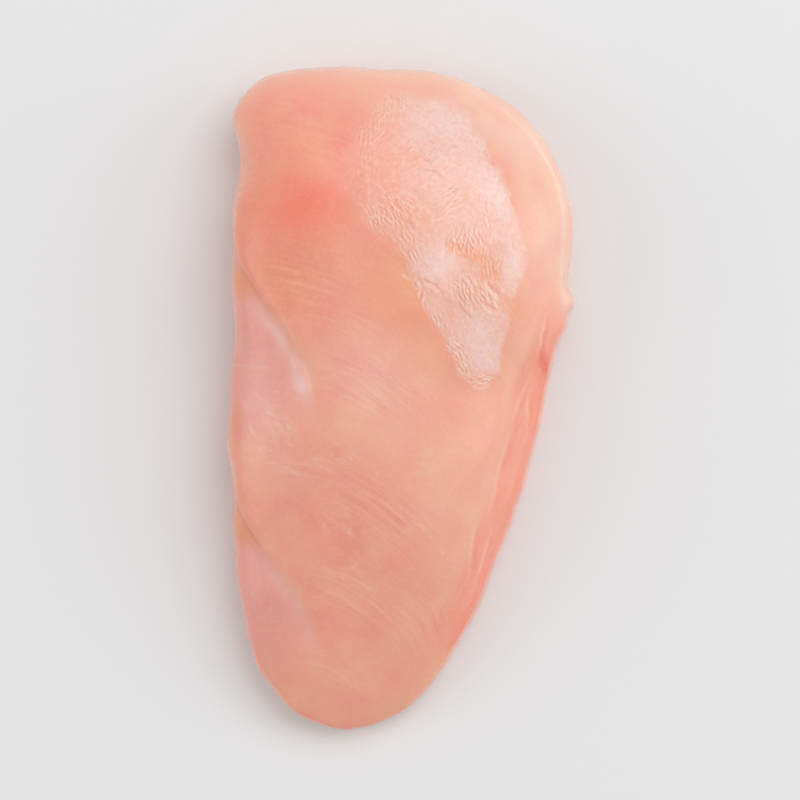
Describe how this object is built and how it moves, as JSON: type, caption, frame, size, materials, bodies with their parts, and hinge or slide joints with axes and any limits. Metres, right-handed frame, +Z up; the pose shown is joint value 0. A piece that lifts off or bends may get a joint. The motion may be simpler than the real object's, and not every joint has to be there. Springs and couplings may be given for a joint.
{
  "type": "raw chicken breast",
  "caption": "Boned and skinned raw chicken breast: a plump domed teardrop of meat with a broad shoulder end, a thin tip, soft lips along the keel edge and a strip of rib meat. Lies flat.",
  "frame": {"origin": "on the flat resting face, under the middle of the breast's length and width", "axes": "+Z up, +Y towards the broad shoulder end, -Y towards the tip, -X towards the straight keel edge, +X towards the thin edge with the rib meat"},
  "size_m": [0.0972, 0.1864, 0.0348],
  "materials": {
    "meat": "moist raw meat, soft and slightly see-through, with a wet shine and fine fibres"
  },
  "bodies": {
    "root": {"chicken_breast": "meat"}
  },
  "joints": []
}
